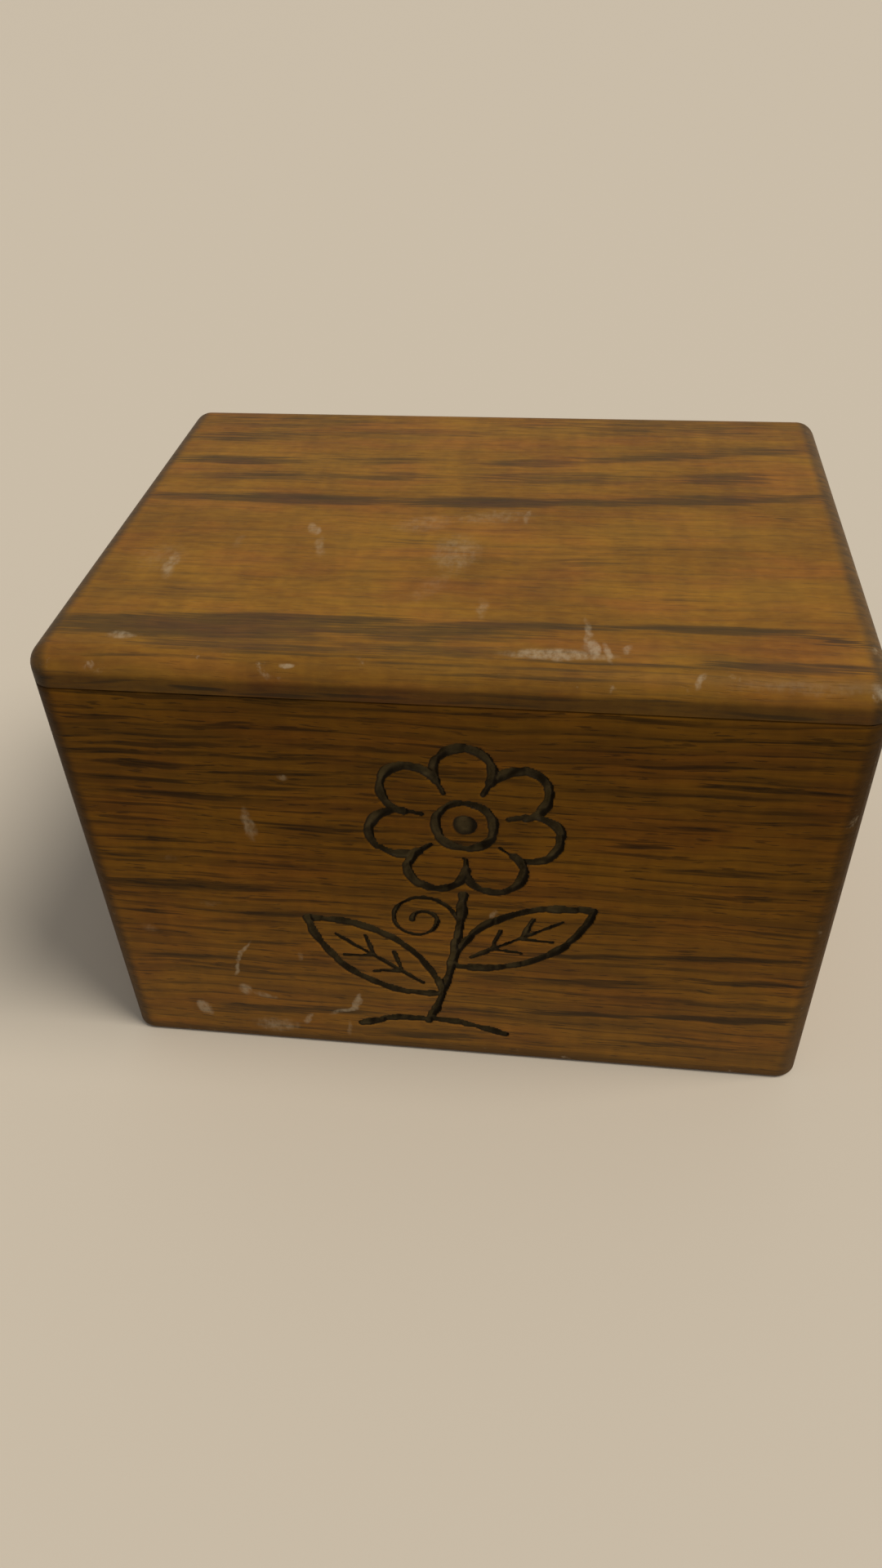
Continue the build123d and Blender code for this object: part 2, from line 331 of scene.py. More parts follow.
front_bands = [
    (-64.0, 91.0, 8.0, 0.9, -2, 1.00),
    (-38.0, 90.4, 5.0, 0.7, 0, 0.85),
    (-22.0, 90.0, 8.0, 0.8, 0, 0.80),
    (4.0, 88.6, 12.0, 0.7, 1, 0.70),
    (-55.0, 87.4, 16.0, 0.6, 1, 0.75),
    (-54.0, 85.2, 20.0, 0.7, 1, 0.85),
    (-64.0, 83.2, 9.0, 0.9, 0, 0.90),
    (-30.0, 83.4, 11.0, 0.7, 0, 0.75),
    (-58.0, 80.6, 10.0, 1.1, -2, 1.00),
    (-34.0, 79.6, 16.0, 0.7, 1, 0.75),
    (8.0, 81.0, 14.0, 0.8, 0, 0.70),
    (-58.0, 76.8, 10.0, 0.8, 0, 0.85),
    (-38.0, 76.2, 9.0, 0.8, 0, 0.80),
    (-50.0, 73.4, 18.0, 0.9, 0, 0.85),
    (-56.0, 70.0, 16.0, 0.6, 0, 0.75),
    (-24.0, 66.8, 11.0, 1.0, -1, 1.00),
    (-62.0, 66.0, 9.0, 0.8, 0, 0.80),
    (2.0, 65.6, 14.0, 0.8, 0, 0.75),
    (-58.0, 61.0, 11.0, 0.8, 0, 0.80),
    (-38.0, 61.4, 8.0, 0.7, 0, 0.70),
    (-66.0, 56.6, 7.0, 0.8, 0, 0.75),
    (-34.0, 56.0, 10.0, 0.7, 0, 0.65),
    (8.0, 55.0, 14.0, 0.8, 0, 0.65),
    (-54.0, 49.2, 24.0, 1.6, 1, 0.95),
    (-34.0, 42.2, 20.0, 1.3, 1, 0.85),
    (-62.0, 40.4, 9.0, 0.8, 0, 0.60),
    (-62.0, 34.0, 10.0, 1.0, 2, 0.80),
    (-40.0, 32.6, 10.0, 0.9, 3, 0.70),
    (-56.0, 26.2, 18.0, 1.1, 3, 0.80),
    (-26.0, 28.0, 14.0, 0.9, 3, 0.65),
    (-36.0, 11.2, 23.0, 1.7, 5, 0.90),
    (3.0, 15.4, 13.0, 1.2, 3, 0.75),
    (28.0, 16.8, 14.0, 1.1, 2, 1.35),
    (57.0, 18.6, 19.0, 1.3, 4, 1.35),
    (30.0, 27.6, 17.0, 0.9, 3, 1.10),
    (62.0, 30.0, 14.0, 1.0, 4, 1.10),
    (26.0, 35.2, 17.0, 0.9, 3, 1.10),
    (56.0, 37.2, 20.0, 1.0, 3, 1.20),
    (60.0, 45.4, 13.0, 1.1, 3, 0.65),
    (58.0, 55.0, 13.0, 1.0, 0, 0.65),
    (50.0, 61.8, 13.0, 1.2, 0, 0.70),
    (36.0, 67.0, 7.0, 0.9, 0, 0.95),
    (43.0, 72.0, 7.0, 0.8, 0, 0.75),
    (64.0, 74.2, 8.0, 0.8, 0, 0.65),
    (56.0, 81.8, 19.0, 0.8, 0, 0.95),
    (43.0, 86.0, 11.0, 0.9, 0, 0.90),
    (64.0, 86.8, 7.0, 0.7, 0, 0.60),
    (36.0, 90.6, 5.0, 0.8, 0, 0.75),
    (60.0, 92.4, 10.0, 0.8, 0, 0.65),
    (-6.0, 5.2, 18.0, 1.4, 2, 0.75),
    (46.0, 8.2, 20.0, 1.3, 4, 0.75),
    (-45.0, 96.4, 26.0, 0.7, 0, 0.75),
    (24.0, 96.2, 30.0, 0.7, 0, 0.60),
]
lid_scuffs_and_sheen = [
    (19.0, -49.4, 11.0, 2.0, 0, 0.75),
    (24.2, -43.0, 6.0, 0.8, 92, 0.60),
    (25.0, -47.5, 3.6, 1.6, 96, 0.85),
    (27.4, -48.0, 3.6, 0.8, 100, 0.80),
    (-57.3, -23.0, 6.0, 1.6, 96, 0.60),
    (-60.0, -20.0, 6.0, 7.0, 0, 0.26),
    (-32.0, -7.0, 3.0, 1.5, 110, 0.60),
    (-29.3, -14.0, 5.0, 1.3, 100, 0.45),
    (4.0, 0.5, 10.0, 3.6, 10, 0.36),
    (11.0, 1.0, 3.4, 0.9, 80, 0.50),
    (-2.0, -15.0, 9.0, 5.5, 90, 0.42),
    (-10.0, -3.0, 8.0, 4.0, 20, 0.34),
    (5.0, -35.5, 4.0, 1.4, 95, 0.45),
    (-46.0, -13.0, 3.5, 1.2, 90, 0.28),
    (-5.0, -28.0, 9.0, 3.0, 60, 0.25),
    (-58.5, -48.8, 3.0, 1.3, 0, 0.65),
    (31.0, -47.0, 2.0, 0.8, 70, 0.60),
    (43.0, -55.0, 2.4, 0.8, 70, 0.70),
    # Wear with a painted highlight at the right corner of the front rim, then a painted sheen along the rim
    (73.0, -56.0, 3.6, 1.8, -30, 0.85),
    (60.0, -55.6, 16.0, 1.8, 0, 0.28),
    (-27.0, -55.4, 1.6, 0.8, 0, 0.85),
]
front_scuffs = [
    (-38.5, 66.5, 4.8, 1.4, 94, 0.60),
    (-45.2, 29.5, 4.4, 0.6, 60, 0.85),
    (-47.6, 24.0, 3.2, 0.6, 80, 0.85),
    (-46.2, 16.8, 1.8, 2.0, 0, 0.80),
    (-42.0, 15.2, 3.4, 1.0, -14, 0.55),
    (-57.0, 9.3, 1.9, 2.4, 0, 0.95),
    (-21.3, 15.2, 3.2, 1.0, 68, 1.15),
    (-24.5, 12.0, 4.2, 0.8, 26, 0.90),
    (-33.0, 8.3, 2.4, 0.8, 60, 0.75),
    (-40.5, 5.0, 6.0, 3.0, 0, 0.60),
    (-24.0, 6.0, 3.4, 0.8, 88, 0.45),
    (-50.0, 43.5, 3.4, 1.2, 10, 0.25),
    (-65.0, 35.0, 2.4, 1.4, 0, 0.30),
    (-30.6, 79.0, 1.1, 0.9, 0, 0.55),
    (8.5, 46.0, 1.8, 0.8, 70, 0.65),
    (-56.0, 56.0, 2.0, 1.0, 0, 0.25),
    (-32.6, 29.0, 1.6, 0.9, 70, 0.45),
]


def edge_shade_and_wear(g, place, seed):
    """Three levels: one that rises towards the box's outer edges, where two of its faces are near, for
    painted shade there, the same in broken patches, for wear, and one on the box's outer skin."""
    half_x, half_y, top = cad_box[1].x / mm, cad_box[1].y / mm, cad_box[1].z / mm
    a = g.math("SUBTRACT", half_x, g.math("ABSOLUTE", place[0]))
    b = g.math("SUBTRACT", half_y, g.math("ABSOLUTE", place[1]))
    c = g.math("MINIMUM", g.math("SUBTRACT", top, place[2]), place[2])
    nearer, further = g.math("MINIMUM", a, b), g.math("MAXIMUM", a, b)
    second = g.math("MAXIMUM", nearer, g.math("MINIMUM", further, c))
    edge = g.steps(second, 0.9, 4.2, 1.0, 0.0)
    shifted = g.vector(place[0], place[1], g.add(place[2], seed))
    patches = g.noise(shifted, scale=0.24, detail=5.0, roughness=0.65)
    skin = g.steps(g.math("MINIMUM", nearer, c), 1.5, 3.0, 1.0, 0.0)
    return edge, g.times(edge, g.steps(patches, 0.62, 0.76)), skin


def wood(
    name, axes, seed, hues, shade, streaks=(), bands=(), pale_marks=(), grooves=False,
    tilt=0.0, stripes=0.6, foot_bounce_light=0.0, arris_shade=0.8, end_shade=0.85, gloss=0.05,
):
    """Oiled striped hardwood.

    axes: the indices of the directions along, across and through the board
    hues: its brown, its gold and the browns of its streaks
    shade: where painted shade darkens the wood, as (low, high, dark at low, dark at high), in height
    streaks, bands, scuffs: straight dark streaks, dark ovals, and pale ovals of wear and of painted sheen
    grooves: whether the carved grooves are stained
    tilt: how far the grain moves across with depth, so that it runs on over a rounded edge
    stripes: how dark the fine stripes are
    dust: how pale the wood goes towards the foot of the box, as painted bounce light from the floor
    arris, end_shade: how dark the painted shade on the outer edges and at the ends of the board is
    gloss: how strongly it reflects
    """
    brown, gold, streak_brown, streak_black = hues
    g = Graph(name)
    place = g.place()
    along, across, through = (place[i] for i in axes)
    top = cad_box[1].z / mm

    # The grain wanders slowly as it runs along the board
    drift = g.stretched((along, across, seed), (0.03, 0.05, 1.0))
    down = g.add(across, g.times(g.math("SUBTRACT", through, top), tilt))
    grain = g.add(down, g.times(g.math("SUBTRACT", drift, 0.5), 3.2))

    # Fibres, short dark pores, dashes and the fine stripes
    shifted, slowly_shifted = g.add(through, seed), g.add(g.times(through, 0.2), seed)
    fibre = g.stretched((along, grain, through), (0.07, 2.2, 2.2), detail=3.0)
    pores = g.stretched((along, grain, through), (0.18, 1.8, 1.8))
    dashes = g.stretched((along, grain, shifted), (0.07, 1.0, 1.0), detail=3.0, roughness=0.6)
    fine = g.stretched((along, grain, slowly_shifted), (0.022, 0.42, 1.0))

    # Broad clouds and small flecks
    mottle = g.stretched((along, across, seed + 11.0), (0.035, 0.06, 1.0), detail=4.0)
    flecks = g.stretched((along, grain, seed + 23.0), (0.3, 0.7, 1.0), detail=3.0, roughness=0.6)

    # The strong bands, broken up by the dashes and with each fibre ending in its own place
    level = 0.0
    if streaks:
        broken = g.stretched((along, grain, seed + 3.0), (0.05, 0.3, 1.0))
        level = g.times(g.streaks(grain, streaks, 0.0, top), g.steps(broken, 0.38, 0.58, 0.25, 1.0))
    if bands:
        comb = g.stretched((along, grain, seed + 7.0), (0.015, 1.5, 1.0), detail=1.0)
        frayed = g.add(along, g.times(g.math("SUBTRACT", comb, 0.5), 26.0))
        level = g.math("MAXIMUM", level, g.marks(g.vector(frayed, grain, 0.0), bands))
    broken_level = g.add(level, g.times(g.math("SUBTRACT", dashes, 0.5), 1.0 + 0.5 * stripes))
    broken_level = g.add(broken_level, g.times(g.math("SUBTRACT", fibre, 0.5), 0.6))
    band = g.steps(broken_level, 0.20, 0.85)
    core = g.steps(broken_level, 0.80, 1.25)
    dark_pores = g.steps(g.add(pores, g.times(level, 0.06)), 0.61, 0.68)

    # From the brown and gold ground to the stripes, bands and pores on it
    clouds = 1.0 - 0.8 * stripes
    blotches = g.add(g.times(g.steps(mottle, 0.36, 0.64), 0.6), g.times(g.steps(flecks, 0.34, 0.66), 0.4))
    color = g.mix(g.add(g.times(blotches, clouds), g.times(fibre, 1.0 - clouds)), brown, gold)
    color = g.mix(g.times(g.steps(fine, 0.42, 0.66), 0.7 * stripes), color, streak_brown)
    ripple = g.math("SINE", g.add(g.times(grain, 2.0), g.times(fine, 9.0)))
    lines = g.times(g.steps(ripple, 0.40, 0.95), g.steps(dashes, 0.34, 0.62))
    color = g.mix(g.times(lines, stripes), color, streak_black)
    color = g.mix(g.times(g.steps(fibre, 0.40, 0.64), 0.4 * stripes), color, streak_brown)
    color = g.mix(g.times(band, 0.78), color, streak_brown)
    color = g.mix(g.times(core, 0.3 + 0.5 * stripes), color, streak_black)
    color = g.mix(g.times(dark_pores, 0.95 * stripes), color, streak_black)

    # Redder and yellower patches
    hue = g.stretched((along, grain, seed + 29.0), (0.04, 0.12, 1.0), detail=4.0)
    tint = g.mix(g.steps(hue, 0.30, 0.58), rust_tint, straw_tint)
    color = g.mix(0.6 - 0.4 * stripes, color, tint, "MULTIPLY")

    # The figure: soft light and dark bars across the grain
    figure = g.stretched((along, grain, seed + 19.0), (0.2, 0.05, 1.0), roughness=0.6)
    color = g.mix(g.steps(figure, 0.32, 0.68, 0.16, 0.0), color, streak_black)

    # Painted shade on the outer edges, at the ends and by height, and painted bounce light at the foot
    edge, wear_and_sheen, skin = edge_shade_and_wear(g, place, seed)
    color = g.mix(g.times(edge, arris_shade), color, streak_brown)
    half = cad_box[1][axes[0]] / mm
    end_shading = g.steps(g.math("ABSOLUTE", along), half - end_shade_start, half - end_shade_full, 0.0, end_shade)
    end_shading = g.times(end_shading, g.steps(flecks, 0.3, 0.6, 1.0, 0.7))
    color = g.mix(end_shading, color, streak_brown)
    # Painted shade: darker towards the top of the walls and below the lid's rounded front edge
    color = g.mix(g.steps(place[2], *shade), color, black)
    # Painted bounce light from the floor: paler towards the foot
    if foot_bounce_light:
        color = g.mix(g.steps(place[2], 0.0, 0.6 * top, foot_bounce_light, 0.0), color, pale_wear_and_light)

    # Pale wear on the outer faces, with painted sheen on the lid's front rim, patchy and caught on the fibres
    if pale_marks:
        wobble = g.math("SUBTRACT", g.stretched((along, down, seed), (0.2, 0.2, 1.0)), 0.5)
        bent = g.vector(g.add(along, g.times(wobble, 3.0)), g.add(down, g.times(wobble, -2.0)), 0.0)
        rubbed = g.stretched((along, down, seed), (0.8, 0.5, 1.0), detail=3.0, roughness=0.6)
        patchy = g.times(g.marks(bent, pale_marks), g.steps(rubbed, 0.25, 0.75, 0.5, 1.5))
        wear_and_sheen = g.math("MAXIMUM", wear_and_sheen, g.times(g.steps(patchy, 0.05, 1.25), skin))
    color = g.mix(g.times(wear_and_sheen, 0.5), color, pale_wear_and_light)
    # Stained grooves: wear and painted light where they face right, painted shade where they face left
    if grooves:
        inside, deep = carved(g, place)
        patches = g.noise(g.vector(along, across, seed), scale=0.16, detail=4.0, roughness=0.65)
        groove = g.mix(g.times(deep, g.steps(patches, 0.36, 0.62, 0.2, 1.0)), groove_stain, groove_pale_and_lit)
        color = g.mix(inside, color, groove)
    roughness = g.add(g.add(g.times(fibre, 0.16), 0.38), g.times(wear_and_sheen, 0.2))
    height = g.math("SUBTRACT", fibre, g.steps(pores, 0.60, 0.67))
    return g.finish(color, roughness, g.bump(height, 0.03 * mm), specular=gloss)


def carved(g, place):
    """Two levels, from how far a point lies behind the face: 1 inside the carved grooves, and 1 where their
    bottoms and the sides that face right are paler, as wear and painted light, away from the sides that face
    left, which keep the dark stain as painted shade."""
    low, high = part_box("front_wall")
    depth = g.math("SUBTRACT", place[1], low.y / mm)
    inside = g.steps(depth, 0.06, 0.28)
    facing = g.facing()
    turned = g.add(g.times(facing[0], -1.0), g.times(facing[2], -0.2))
    # Painted light and shade: paler bottoms facing right, dark stain kept on the sides that face left
    deep = g.times(g.steps(depth, 0.2, 0.7), g.steps(turned, -0.1, 0.35, 1.0, 0.0))
    near = g.steps(depth, stain_depth, stain_depth + 0.2, 1.0, 0.0)
    beside = g.steps(g.math("ABSOLUTE", place[0]), stain_reach, stain_reach + 1.0, 1.0, 0.0)
    margin = carving_margin / mm - 1.5 * groove_width / mm
    up = g.times(
        g.steps(place[2], margin - 1.0, margin),
        g.steps(place[2], high.z / mm - margin, high.z / mm - margin + 1.0, 1.0, 0.0),
    )
    return g.times(g.times(inside, near), g.times(beside, up)), deep


def plain_wood(name, axes, seed):
    """Sanded, pale wood. axes are the indices of the directions along and across the board."""
    g = Graph(name)
    place = g.place()
    along, across = (place[i] for i in axes)
    grain = g.stretched((along, across, seed), (0.008, 0.25, 1.0), detail=4.0)
    fibre = g.stretched((along, across, seed), (0.1, 3.0, 1.0), detail=3.0)
    color = g.mix(g.steps(grain, 0.35, 0.65), base_brown, base_pale)
    color = g.mix(g.times(g.steps(fibre, 0.4, 0.7), 0.35), color, base_fibre)
    return g.finish(color, g.add(g.times(fibre, 0.2), 0.5), g.bump(fibre, 0.05 * mm), specular=0.35)


def brass(name, seed):
    """Dulled brass, browner in patches, with fine scratches."""
    g = Graph(name)
    x, y, z = g.place()
    patches = g.noise(g.vector(x, y, g.add(z, seed)), scale=0.35, detail=4.0)
    scratches = g.stretched((x, y, z), (0.4, 9.0, 9.0))
    color = g.mix(g.steps(patches, 0.4, 0.68), brass_bright, brass_dull)
    roughness = g.add(g.times(patches, 0.35), g.add(g.times(scratches, 0.12), 0.12))
    return g.finish(color, roughness, g.bump(scratches, 0.02 * mm), metallic=1.0)


def felt(name):
    """Matt wool felt, with short fibres in all directions."""
    g = Graph(name)
    x, y, z = g.place()
    fibres = g.noise(g.vector(x, y, z), scale=2.4, detail=6.0, roughness=0.7)
    clouds = g.noise(g.vector(x, y, z), scale=0.06, detail=3.0)
    color = g.mix(g.steps(fibres, 0.3, 0.7), felt_dark, felt_green)
    color = g.mix(g.times(g.steps(clouds, 0.4, 0.7), 0.3), color, felt_pale)
    g.shader.inputs["Sheen Weight"].default_value = 0.15
    g.shader.inputs["Sheen Roughness"].default_value = 0.6
    return g.finish(color, 0.95, g.bump(fibres, 0.25 * mm), specular=0.2)


def polar(centre, radius, degrees):
    """A point at a distance and an angle from a centre."""
    angle = math.radians(degrees)
    return (centre[0] + radius * math.cos(angle), centre[1] + radius * math.sin(angle))


def arc_points(start, middle, end):
    """Points along the arc through three points."""
    a, b, c = (complex(*p) for p in (start, middle, end))
    w = (c - a) / (b - a)
    centre = a - (a - b) * (w - abs(w) ** 2) / (2j * w.imag)
    first = np.angle(a - centre)
    sweep = np.angle((c - centre) / (a - centre))
    if np.sign(sweep) != np.sign(np.angle((b - centre) / (a - centre))):
        sweep -= np.sign(sweep) * 2 * math.pi
    turns = np.linspace(0, sweep, 60)
    points = centre + abs(a - centre) * np.exp(1j * (first + turns))
    return np.stack([points.real, points.imag], 1)


def flower_strokes(centre, ring, ray, valley, tip):
    """The flower head: a dot and a ring, then short rays and a lobed edge of petals."""
    strokes = [(np.array([centre, centre]), ring / 2)]
    circle = [polar(centre, ring, angle) for angle in range(0, 361, 6)]
    strokes.append((np.array(circle), None))
    step = 360 / petal_count
    fine = []
    for petal in range(petal_count):
        angle = 90 + petal * step
        lobe = [polar(centre, valley, angle - step / 2), polar(centre, tip, angle)]
        lobe.append(polar(centre, valley, angle + step / 2))
        strokes.append((arc_points(*lobe), None))
        side = angle + step / 2
        fine.append(np.array([polar(centre, ray, side), polar(centre, valley, side)]))
    return strokes, fine


def leaf_strokes(base, tip, half_width):
    """A pointed leaf: two curved edges, a midrib and two pairs of veins."""
    base, tip = np.array(base, float), np.array(tip, float)
    length = np.linalg.norm(tip - base)
    along = (tip - base) / length
    across = np.array([-along[1], along[0]])

    def place(share, offset):
        return base + along * share * length + across * offset

    edges = [(arc_points(base, place(0.45, half_width * side), tip), None) for side in (-1, 1)]
    fine = [np.array([place(0.15, 0), place(0.8, 0)])]
    for share in (0.3, 0.52):
        for side in (-1, 1):
            fine.append(np.array([place(share, 0), place(share + 0.14, 0.55 * half_width * side)]))
    return edges, fine


def tendril_strokes(start, radii):
    """A curl of half circles, each smaller than the last."""
    fine = []
    left = -1
    for radius in radii:
        end = (start[0] + 2 * radius * left, start[1])
        fine.append(arc_points(start, (start[0] + radius * left, start[1] - radius * left), end))
        start = end
        left = -left
    return fine


def carving_strokes():
    """Every stroke of the motif as (points in metres on the front, half-width)."""
    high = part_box("front_wall")[1]
    unit = (high.z - 2 * carving_margin) / 100
    centre, petal_tip = (4, 76), 23
    wide = [
        (arc_points((-7, 3), (-0.5, 26), (centre[0] - 1, centre[1] - petal_tip)), None),
        (arc_points((-26, 0), (-6, 4), (14, 0)), None),
    ]
    head, fine = flower_strokes(centre, 7, 10.5, 14.5, petal_tip)
    wide += head
    for base, tip, half_width in (((-3, 15), (-37, 41), 9), ((-0.5, 27), (35, 50), 8.5)):
        edges, veins = leaf_strokes(base, tip, half_width)
        wide += edges
        fine += veins
    fine += tendril_strokes((1.5, 43), (8, 5.5, 3.2))
    foot = np.array([0.0, carving_margin])
    strokes = [
        (points * unit + foot, groove_width / 2 if half is None else half * unit) for points, half in wide
    ]
    return strokes + [(points * unit + foot, fine_groove_width / 2) for points in fine]


def resampled(points, step):
    """The same line with points at even steps, and how far along each one is."""
    lengths = np.concatenate([[0], np.cumsum(np.linalg.norm(np.diff(points, axis=0), axis=1))])
    count = max(2, int(lengths[-1] / step) + 1)
    run = np.linspace(0, lengths[-1], count)
    even = np.stack([np.interp(run, lengths, points[:, i]) for i in (0, 1)], 1)
    return even, run


def smooth_noise(run, seed, wavelength):
    """Random values from -1 to 1 that change slowly along a stroke."""
    return np.array([noise.noise(Vector((r / wavelength, seed, 0.37 * seed))) for r in run]) * 2


def carve(x, z):
    """How deep the carving goes at each point of the front."""
    depth = np.zeros(len(x))
    chatter = np.array([noise.noise(Vector((a / chatter_wave, 3.3, b / chatter_wave))) for a, b in zip(x, z)])
    for number, (points, half) in enumerate(carving_strokes()):
        even, run = resampled(points, stroke_step)
        seed = 1.7 * number + 0.4
        along = np.gradient(even, axis=0)
        along /= np.maximum(np.linalg.norm(along, axis=1), 1e-9)[:, None]
        across = np.stack([-along[:, 1], along[:, 0]], 1)
        cut = run / cut_length + seed
        shift = np.array([noise.noise(Vector((7.3 * math.floor(c) + 0.5, seed, 0.2))) for c in cut]) * 2
        even = even + across * (shift * cut_shift)[:, None]
        swell = 1 - cut_taper * (1 - np.sqrt(np.abs(np.sin(np.pi * (cut % 1)))))
        halves = half * swell * (1 + width_change * smooth_noise(run, seed + 31, width_wave))
        # Narrow grooves are shallower
        deep = groove_depth * min(1.0, half / (groove_width / 2) + 0.1)
        depths = deep * swell * (1 + depth_change * smooth_noise(run, seed + 57, depth_wave))
        reach = half * groove_reach
        near = (x > even[:, 0].min() - reach) & (x < even[:, 0].max() + reach)
        near &= (z > even[:, 1].min() - reach) & (z < even[:, 1].max() + reach)
        index = np.nonzero(near)[0]
        best = np.zeros(len(index))
        for point, h, d in zip(even, halves, depths):
            gap = np.hypot(x[index] - point[0], z[index] - point[1]) + chatter[index] * edge_chatter
            share = np.clip(1 - (gap / h) ** 2, 0, 1)
            slant = 1 + cut_lean * ((x[index] - point[0]) * lean_x + (z[index] - point[1]) * lean_z) / h
            best = np.maximum(best, d * slant * share**groove_profile)
        depth[index] = np.maximum(depth[index], best)
    return depth


def graded(low, high, fine_low, fine_high, coarse, fine):
    """Places from low to high, close together between fine_low and fine_high."""
    parts = [
        np.linspace(low, fine_low, max(2, int((fine_low - low) / coarse) + 1))[:-1],
        np.linspace(fine_low, fine_high, int((fine_high - fine_low) / fine) + 1),
        np.linspace(fine_high, high, max(2, int((high - fine_high) / coarse) + 1))[1:],
    ]
    return np.concatenate(parts)


def new_piece(name, points, faces, sharp_degrees):
    """An object with smooth faces, and sharp edges where they turn by more than an angle."""
    mesh = bpy.data.meshes.new(name)
    mesh.from_pydata(points, [], faces)
    mesh.polygons.foreach_set("use_smooth", [True] * len(mesh.polygons))
    mesh.set_sharp_from_angle(angle=math.radians(sharp_degrees))
    piece = bpy.data.objects.new(name, mesh)
    bpy.context.scene.collection.objects.link(piece)
    return piece


def front_wall():
    """The mitred front board, with rounded upright edges and the carving as hand-cut grooves."""
    low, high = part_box("front_wall")
    base_low, base_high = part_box("base_panel")
    half = cad_box[1].x
    thick = high.y - low.y
    rebate = base_low.y - base_fit - low.y
    flat = half - edge_radius
    arc = edge_radius * math.pi / 4
    u = graded(-flat - arc, flat + arc, carving_left, carving_right, coarse_spacing, fine_spacing)
    carving_foot, carving_top = carving_margin - carving_border, high.z - carving_margin + carving_border
    rise = graded(foot_radius, high.z - top_arris, carving_foot, carving_top, coarse_spacing, fine_spacing)

    # The outline of a cut through the board, round from the foot, as (distance behind the face, height)
    turns = np.linspace(0, math.pi / 2, 6)[:-1]
    outline = [(foot_radius * (1 - math.sin(t)), foot_radius * (1 - math.cos(t))) for t in turns]
    outline += [(0.0, z) for z in rise]
    outer_count = len(outline) + 1
    outline.append((top_arris, high.z))
    outline += [(thick, high.z), (thick, base_high.z), (rebate, base_high.z), (rebate, 0.0)]
    outline = np.array(outline)

    # Each column's place on the face, and its way inwards
    side = np.sign(u)
    turn = np.clip((np.abs(u) - flat) / edge_radius, 0, None)
    face_x = side * (np.minimum(np.abs(u), flat) + edge_radius * np.sin(turn))
    face_y = low.y + edge_radius * (1 - np.cos(turn))
    inward = np.stack([-side * np.sin(turn), np.cos(turn)], 1)

    columns, rows = len(u), len(outline)
    points = np.zeros((columns, rows, 3))
    for row, (depth, z) in enumerate(outline):
        if row < outer_count:
            points[:, row, 0] = face_x + inward[:, 0] * depth
            points[:, row, 1] = face_y + inward[:, 1] * depth
        else:
            points[:, row, 0] = u / (flat + arc) * (half - depth)
            points[:, row, 1] = low.y + depth
        points[:, row, 2] = z
    points = points.reshape(-1, 3)

    # The points on the flat of the face go in by the carving's depth
    index = np.nonzero(np.abs(points[:, 1] - low.y) < on_plane)[0]
    points[index, 1] += carve(points[index, 0], points[index, 2])

    corners = np.arange(columns * rows).reshape(columns, rows)
    after = np.roll(corners, -1, axis=1)
    quads = np.stack([corners[:-1], corners[1:], after[1:], after[:-1]], -1).reshape(-1, 4)
    faces = quads.tolist() + [corners[0].tolist(), corners[-1][::-1].tolist()]
    piece = new_piece("carved_front_wall", points.tolist(), faces, sharp_degrees=50)
    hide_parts("front_wall")
    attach(piece, "box")
    return piece


def felt_sheet():
    """The felt on the base: a soft-edged sheet with a faint unevenness."""
    low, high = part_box("felt_lining")
    columns, rows = felt_columns, felt_rows
    thick = high.z - low.z
    points = []
    for top in (True, False):
        for i in range(columns):
            for j in range(rows):
                x = low.x + (high.x - low.x) * i / (columns - 1)
                y = low.y + (high.y - low.y) * j / (rows - 1)
                edge = min(x - low.x, high.x - x, y - low.y, high.y - y)
                soft = min(1.0, edge / (felt_edge * thick))
                lift = felt_unevenness * noise.noise(Vector((x / felt_wave, y / felt_wave, 2.0)))
                height = felt_edge_height + felt_rise * math.sqrt(soft * (2 - soft))
                z = low.z + thick * height + lift * soft
                points.append((x, y, z if top else low.z))
    corners = np.arange(2 * columns * rows).reshape(2, columns, rows)
    faces = []
    for layer, flip in ((corners[0], False), (corners[1], True)):
        quads = np.stack([layer[:-1, :-1], layer[1:, :-1], layer[1:, 1:], layer[:-1, 1:]], -1).reshape(-1, 4)
        faces += (quads[:, ::-1] if flip else quads).tolist()
    rim = []
    for layer in corners:
        rim.append(np.concatenate([layer[:-1, 0], layer[-1, :-1], layer[:0:-1, -1], layer[0, :0:-1]]))
    top_rim, low_rim = rim
    for a, b, c, d in zip(top_rim, np.roll(top_rim, -1), np.roll(low_rim, -1), low_rim):
        faces.append([int(d), int(c), int(b), int(a)])
    piece = new_piece("felt_sheet", points, faces, sharp_degrees=60)
    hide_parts("felt_lining")
    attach(piece, "box")
    return piece


def dress(piece, material):
    """Gives a piece one material for all its faces."""
    piece.data.materials.clear()
    piece.data.materials.append(material)


def camera():
    """The photograph's viewpoint: close, from above and a little to the right."""
    azimuth, elevation, roll = (math.radians(a) for a in (8.43, 39.94, -2.36))
    distance = 0.2784
    aim = Vector((-0.0091, 0.0, 0.0320))
    # The focal length as a share of the picture's height
    focal_share = 1379 / 1920
    back = Vector(
        (
            math.sin(azimuth) * math.cos(elevation),
            -math.cos(azimuth) * math.cos(elevation),
            math.sin(elevation),
        )
    )
    right = Vector((0, 0, 1)).cross(back).normalized()
    up = back.cross(right)
    right, up = (
        right * math.cos(roll) + up * math.sin(roll),
        up * math.cos(roll) - right * math.sin(roll),
    )
    data = bpy.data.cameras.new("camera")
    data.sensor_width = 36
    data.lens = data.sensor_width * focal_share
    data.clip_start = 0.01
    view = bpy.data.objects.new("camera", data)
    turned = Matrix((right, up, back)).transposed().to_4x4()
    view.matrix_world = Matrix.Translation(aim + back * distance) @ turned
    bpy.context.scene.collection.objects.link(view)
    bpy.context.scene.camera = view


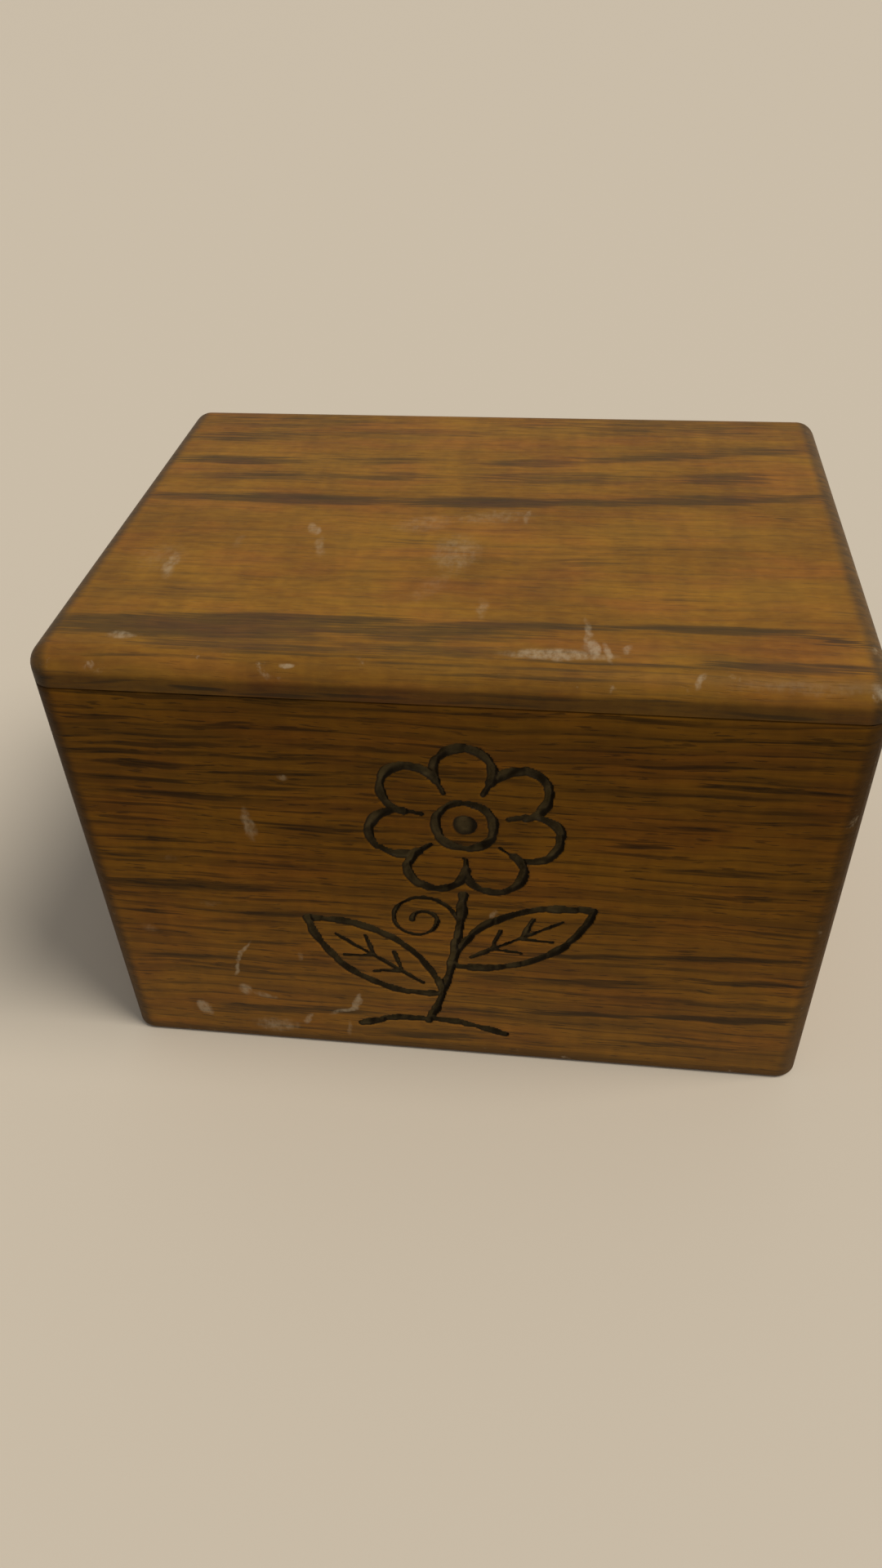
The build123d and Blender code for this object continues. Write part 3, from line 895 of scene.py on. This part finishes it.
def studio():
    """A pale floor, an even pale surround and one wide soft sun from above and the right."""
    floor_mesh = bpy.data.meshes.new("floor")
    reach = 8.0
    corners = [(-reach, -reach, 0), (reach, -reach, 0), (reach, reach, 0), (-reach, reach, 0)]
    floor_mesh.from_pydata(corners, [], [(0, 1, 2, 3)])
    floor = bpy.data.objects.new("floor", floor_mesh)
    bpy.context.scene.collection.objects.link(floor)
    g = Graph("floor")
    dress(floor, g.finish(floor_pale, 0.85, specular=0.1))

    # The surround lights the box softly, and looks paler behind it than its light is
    world = bpy.data.worlds.new("studio")
    world.use_nodes = True
    tree = world.node_tree
    surround = tree.nodes["Background"]
    surround.inputs["Color"].default_value = (0.95, 0.97, 1.0, 1.0)
    surround.inputs["Strength"].default_value = 0.36
    backdrop = tree.nodes.new("ShaderNodeBackground")
    backdrop.inputs["Color"].default_value = (0.62, 0.60, 0.56, 1.0)
    path = tree.nodes.new("ShaderNodeLightPath")
    either = tree.nodes.new("ShaderNodeMixShader")
    tree.links.new(path.outputs["Is Camera Ray"], either.inputs[0])
    tree.links.new(surround.outputs[0], either.inputs[1])
    tree.links.new(backdrop.outputs[0], either.inputs[2])
    tree.links.new(either.outputs[0], tree.nodes["World Output"].inputs["Surface"])
    bpy.context.scene.world = world
    data = bpy.data.lights.new("key", "SUN")
    data.energy = 2.4
    data.angle = math.radians(28)
    data.color = (1.0, 0.97, 0.92)
    key = bpy.data.objects.new("key", data)
    key.rotation_euler = Vector((0.60, -0.12, 1.0)).to_track_quat("Z", "Y").to_euler()
    bpy.context.scene.collection.objects.link(key)
    bpy.context.scene.view_settings.view_transform = "Standard"


front = front_wall()
sheet = felt_sheet()
felt_material = felt("felt_green")
dress(sheet, felt_material)

# Streaks at even heights along the back and the sides, and the painted shade with which the walls and
# the lid's rim darken with height
side_streaks = [(3 + 6.2 * i + 1.9 * math.sin(2.7 * i), 2.0 + 0.6 * math.sin(i), 0.9) for i in range(16)]
wall_shade = (5.0, 95.0, 0.0, 0.40)
lid_side_shade = (99.4, 101.0, 0.55, 0.0)
front_wood = wood(
    "front_wood",
    (0, 2, 1),
    2.0,
    wall_hues,
    wall_shade,
    bands=front_bands,
    pale_marks=front_scuffs,
    grooves=True,
    foot_bounce_light=0.05,
)
dress(front, front_wood)
for name, axes, seed in (("back", (0, 2, 1), 21.0), ("left", (1, 2, 0), 35.0), ("right", (1, 2, 0), 48.0)):
    dress(nodes[name + "_wall"], wood(name + "_wood", axes, seed, wall_hues, wall_shade, side_streaks))
lid_wood = wood(
    "lid_wood",
    (0, 1, 2),
    5.0,
    lid_hues,
    lid_side_shade,
    bands=lid_bands,
    pale_marks=lid_scuffs_and_sheen,
    tilt=0.8,
    stripes=0.22,
    arris_shade=0.2,
    end_shade=0.9,
    gloss=0.1,
)
dress(nodes["lid_board"], lid_wood)
dress(nodes["base_panel"], plain_wood("base_wood", (0, 1), 9.0))
hinge_metal = brass("hinge_brass", 3.0)
screw_metal = brass("screw_brass", 8.0)
for name, node in nodes.items():
    if name.endswith("screws"):
        dress(node, screw_metal)
    elif "hinge" in name:
        dress(node, hinge_metal)

camera()
studio()
